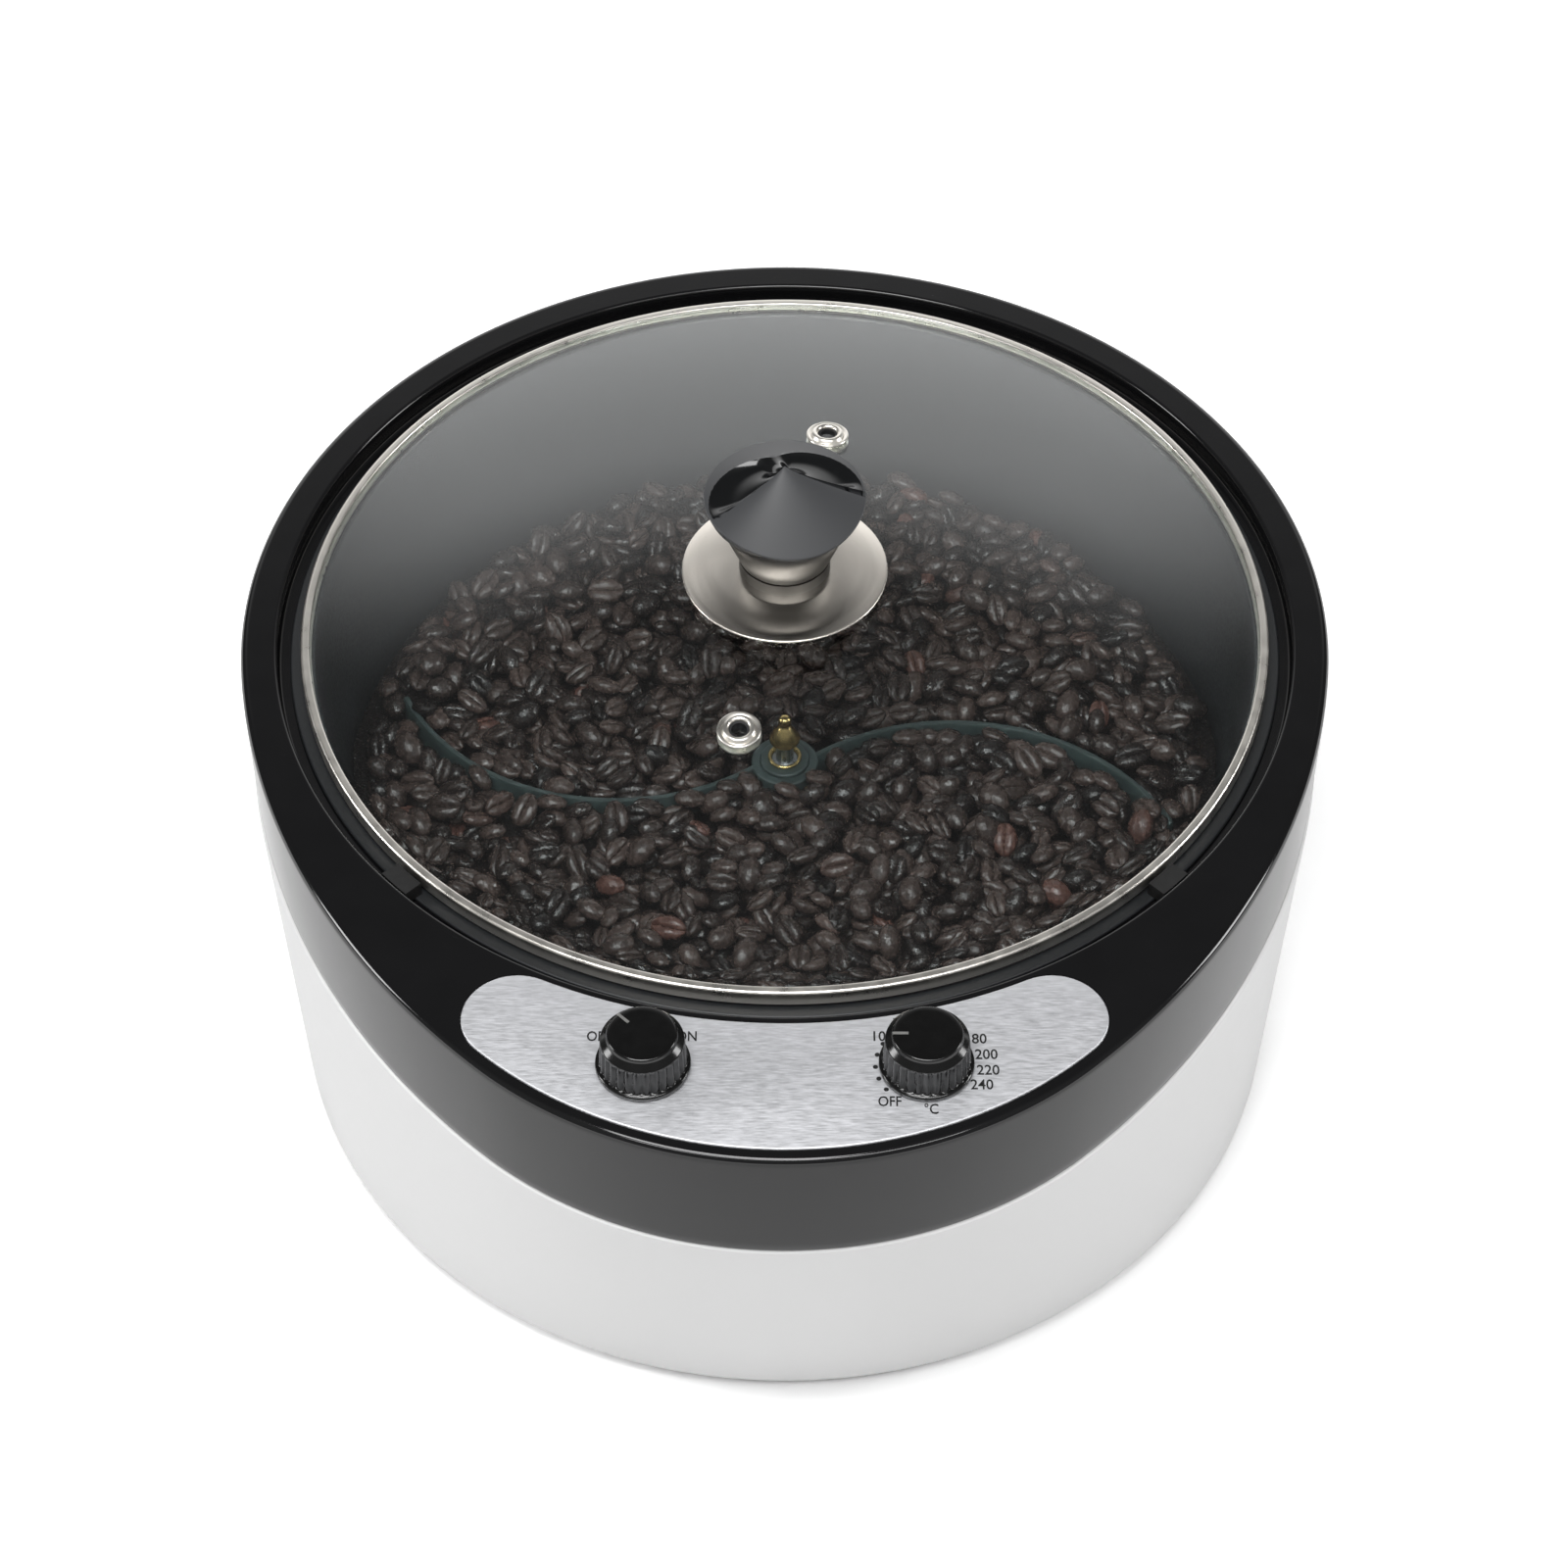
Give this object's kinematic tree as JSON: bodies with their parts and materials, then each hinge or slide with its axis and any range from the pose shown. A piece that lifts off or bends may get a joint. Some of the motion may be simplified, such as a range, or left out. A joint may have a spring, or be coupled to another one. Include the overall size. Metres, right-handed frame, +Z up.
{
  "type": "coffee bean roaster",
  "caption": "Countertop drum-shaped bean roaster: heated round pan with a turning stirrer blade under a domed glass lid, two control knobs on the front deck.",
  "frame": {"origin": "middle of the outline of the deck, on the surface that the feet stand on", "axes": "+Z up, -Y towards the front with the control knobs, +X to the right seen from the front"},
  "size_m": [0.2992, 0.335, 0.222],
  "materials": {
    "white_shell": "satin gloss white",
    "black_gloss": "polished black",
    "black_plain": "matt black",
    "bare_steel": "plain sheet steel",
    "brushed_plate": "brushed across, clear coated",
    "polished_steel": "polished",
    "knob_steel": "turned, fine brushed",
    "nonstick": "dark non-stick coating",
    "lid_glass": "clear toughened glass",
    "silicone": "dark silicone",
    "foot_rubber": "matt rubber",
    "brass": "turned brass",
    "bronze": "sintered bronze",
    "copper_coil": "enamelled copper winding",
    "gear_plastic": "natural acetal",
    "dark_steel": "dark heat-stained steel",
    "magnet": "sintered ferrite",
    "ceramic": "glazed ceramic",
    "terminal_plastic": "moulded nylon",
    "wire_red": "silicone insulated wire",
    "switch_body": "moulded phenolic",
    "coffee_beans": "dark roasted, slightly oily",
    "tick_silver": "bright foil",
    "copper_tube": "drawn copper"
  },
  "bodies": {
    "housing": {"lower_shell": "white_shell", "base_plate": "bare_steel", "feet": "foot_rubber", "foot_screws": "bare_steel", "tie_bolts": "bare_steel", "top_ring": "black_gloss", "control_plate": "brushed_plate", "roasting_pan": "nonstick", "pan_clips": "black_plain", "heat_shield": "bare_steel", "shield_posts": "bare_steel", "shield_screws": "bare_steel", "heating_element": "dark_steel", "element_saddles": "bare_steel", "element_bushes": "ceramic", "motor_case": "bare_steel", "stator_coil": "copper_coil", "gearbox_base": "bare_steel", "gearbox_case": "bare_steel", "gearbox_screws": "bare_steel", "idler_pin": "polished_steel", "motor_bracket": "bare_steel", "bracket_screws": "bare_steel", "shaft_bush": "bronze", "power_switch": "switch_body", "thermostat": "bare_steel", "control_nuts": "bare_steel", "thermostat_bulb": "copper_tube", "thermal_fuse": "ceramic", "terminal_block": "terminal_plastic", "terminal_screws": "brass", "wire_harness": "wire_red", "cable_gland": "black_plain"},
    "lid": {"lid_glass": "lid_glass", "lid_rim": "polished_steel", "lid_gasket": "silicone", "vent_grommets": "polished_steel", "lid_knob_plate": "knob_steel", "lid_knob_neck": "knob_steel", "lid_knob_cap": "black_gloss", "lid_knob_screw": "bare_steel", "lid_knob_washer": "silicone"},
    "stirrer": {"output_gear": "gear_plastic", "output_shaft": "polished_steel", "stirrer_hub": "nonstick", "stirrer_blade": "nonstick", "hub_washer": "brass", "hub_nut": "brass", "bean_charge": "coffee_beans"},
    "idler": {"idler_gear": "gear_plastic"},
    "rotor": {"motor_rotor": "magnet"},
    "power_knob": {"power_knob": "black_gloss", "power_knob_pointer": "tick_silver", "switch_spindle": "polished_steel"},
    "thermostat_knob": {"thermostat_knob": "black_gloss", "thermostat_knob_pointer": "tick_silver", "thermostat_spindle": "polished_steel"}
  },
  "joints": [
    {"name": "lid_lift", "type": "slide", "parent": "housing", "child": "lid", "axis": [0, 0, 1], "range_m": [0, 0.12]},
    {"name": "stirrer_spin", "type": "hinge", "parent": "housing", "child": "stirrer", "pos_m": [0, 0.01805, 0.08], "axis": [0, 0, 1], "continuous": true},
    {"name": "idler_spin", "type": "hinge", "parent": "housing", "child": "idler", "pos_m": [0.0264, 0.01805, 0.04], "axis": [0, 0, 1], "continuous": true},
    {"name": "rotor_spin", "type": "hinge", "parent": "housing", "child": "rotor", "pos_m": [0, 0.01805, 0.02], "axis": [0, 0, 1], "continuous": true},
    {"name": "power_knob_turn", "type": "hinge", "parent": "housing", "child": "power_knob", "pos_m": [-0.0355, -0.13745, 0.17], "axis": [0, 0, -1], "range_deg": [0, 95]},
    {"name": "thermostat_knob_turn", "type": "hinge", "parent": "housing", "child": "thermostat_knob", "pos_m": [0.0355, -0.13745, 0.17], "axis": [0, 0, -1], "range_deg": [-52, 208]}
  ],
  "couplings": [
    {"joint": "idler_spin", "follows": "stirrer_spin", "ratio": -4.5},
    {"joint": "rotor_spin", "follows": "stirrer_spin", "ratio": 20.25}
  ]
}
